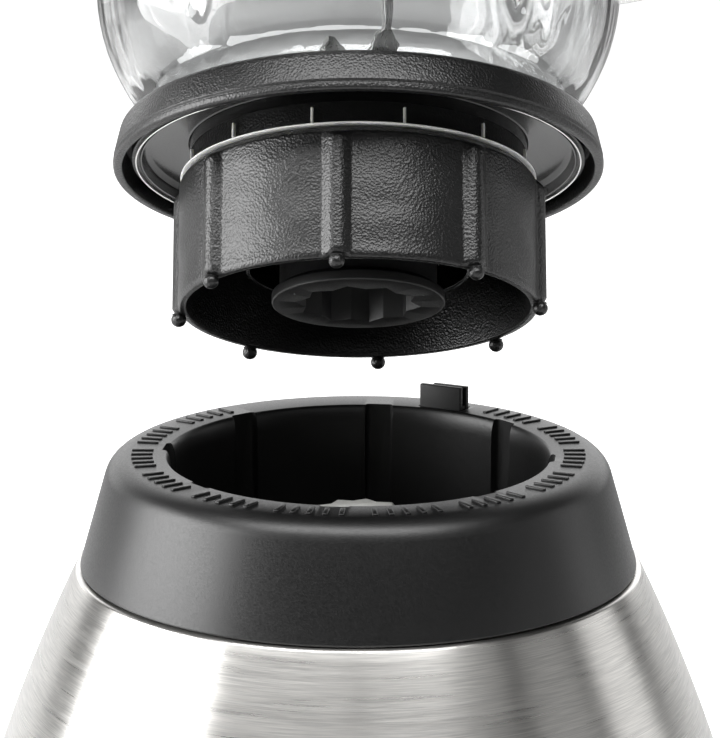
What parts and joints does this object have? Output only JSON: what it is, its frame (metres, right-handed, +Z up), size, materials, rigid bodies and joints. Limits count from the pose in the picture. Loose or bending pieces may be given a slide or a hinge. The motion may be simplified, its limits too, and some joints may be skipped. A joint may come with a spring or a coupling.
{
  "type": "countertop blender",
  "caption": "Countertop blender: brushed steel cone base with a black ring, and a glass jar with a ribbed black collar, lifted and tipped back over it.",
  "frame": {"origin": "centre of the bottom cover's flat underside, on the drive axis; the rubber feet reach 4 mm below it", "axes": "+Z up along the motor's axis, -Y towards the front, where the buttons are, and +X towards the jar's handle"},
  "size_m": [0.2108, 0.2913, 0.4292],
  "materials": {
    "black_plastic": "satin moulded black plastic",
    "textured_plastic": "fine leather-grain moulded black plastic",
    "brushed_steel": "stainless sheet, brushed round the body",
    "blade_steel": "ground stainless steel",
    "cast_metal": "die-cast alloy, satin",
    "motor_steel": "electrical sheet and plated steel",
    "copper": "enamelled copper wire",
    "bronze": "sintered bronze and brass strip",
    "carbon": "pressed carbon",
    "rubber": "moulded black rubber",
    "silicone": "translucent white silicone",
    "circuit_board": "green glass-fibre laminate",
    "clear_glass": "clear pressed glass, fire polished",
    "clear_plastic": "clear moulded plastic"
  },
  "bodies": {
    "base": {"base_collar": "black_plastic", "bottom_cover": "textured_plastic", "brush_front": "carbon", "brush_holder_front": "bronze", "brush_holder_rear": "bronze", "brush_rear": "carbon", "circuit_board": "circuit_board", "control_panel": "textured_plastic", "cord_inlet": "rubber", "cover_screw_1": "motor_steel", "cover_screw_2": "motor_steel", "cover_screw_3": "motor_steel", "cover_screw_4": "motor_steel", "field_coil_left": "copper", "field_coil_right": "copper", "foot_1": "rubber", "foot_2": "rubber", "foot_3": "rubber", "foot_4": "rubber", "jar_key": "black_plastic", "lower_bracket": "motor_steel", "lower_bushing": "bronze", "lower_housing": "black_plastic", "motor_bolt_front": "motor_steel", "motor_bolt_rear": "motor_steel", "stator_core": "motor_steel", "steel_housing": "brushed_steel", "switch_block": "textured_plastic", "upper_bracket": "motor_steel", "upper_bushing": "bronze"},
    "rotor": {"motor_shaft": "blade_steel", "armature_core": "motor_steel", "armature_winding_lower": "copper", "armature_winding_upper": "copper", "commutator": "copper", "cooling_fan": "textured_plastic", "drive_star": "cast_metal"},
    "jar": {"jar_glass": "clear_glass", "jar_collar": "textured_plastic", "collar_ring": "blade_steel", "neck_seal": "silicone", "jar_gasket": "silicone", "blade_holder": "black_plastic", "blade_bushing": "bronze", "spindle_seal": "rubber"},
    "blades": {"blade_spindle": "blade_steel", "blade_low": "blade_steel", "blade_wide": "blade_steel", "blade_tall": "blade_steel", "blade_nut": "blade_steel", "drive_socket": "textured_plastic"},
    "lid": {"jar_lid": "black_plastic", "lid_seal": "rubber"},
    "cap": {"lid_cap": "clear_plastic"},
    "button_1": {"button_1": "textured_plastic"},
    "button_2": {"button_2": "textured_plastic"},
    "button_3": {"button_3": "textured_plastic"},
    "button_4": {"button_4": "textured_plastic"},
    "button_5": {"button_5": "textured_plastic"},
    "button_6": {"button_6": "textured_plastic"}
  },
  "joints": [
    {"name": "motor_spin", "type": "hinge", "parent": "base", "child": "rotor", "pos_m": [0, 0, 0.1], "axis": [0, 0, 1], "continuous": true},
    {"name": "jar_lift", "type": "hinge", "parent": "base", "child": "jar", "pos_m": [0, 0.137, 0.122], "axis": [-1, 0, 0], "range_deg": [-29, 8]},
    {"name": "blade_spin", "type": "hinge", "parent": "jar", "child": "blades", "pos_m": [0, 0.0261, 0.20451], "axis": [0, 0.4848, 0.8746], "continuous": true},
    {"name": "lid_lift", "type": "slide", "parent": "jar", "child": "lid", "axis": [0, 0.4848, 0.8746], "range_m": [0, 0.045]},
    {"name": "cap_lift", "type": "slide", "parent": "lid", "child": "cap", "axis": [0, 0.4848, 0.8746], "range_m": [0, 0.04]},
    {"name": "button_1_press", "type": "slide", "parent": "base", "child": "button_1", "axis": [0.4226, 0.9063, 0], "range_m": [0, 0.003], "stiffness_N_per_m": 300},
    {"name": "button_2_press", "type": "slide", "parent": "base", "child": "button_2", "axis": [0.2588, 0.9659, 0], "range_m": [0, 0.003], "stiffness_N_per_m": 300},
    {"name": "button_3_press", "type": "slide", "parent": "base", "child": "button_3", "axis": [0.0872, 0.9962, 0], "range_m": [0, 0.003], "stiffness_N_per_m": 300},
    {"name": "button_4_press", "type": "slide", "parent": "base", "child": "button_4", "axis": [-0.0872, 0.9962, 0], "range_m": [0, 0.003], "stiffness_N_per_m": 300},
    {"name": "button_5_press", "type": "slide", "parent": "base", "child": "button_5", "axis": [-0.2588, 0.9659, 0], "range_m": [0, 0.003], "stiffness_N_per_m": 300},
    {"name": "button_6_press", "type": "slide", "parent": "base", "child": "button_6", "axis": [-0.4226, 0.9063, 0], "range_m": [0, 0.003], "stiffness_N_per_m": 300}
  ],
  "couplings": [
    {"joint": "blade_spin", "follows": "motor_spin", "ratio": 1}
  ]
}
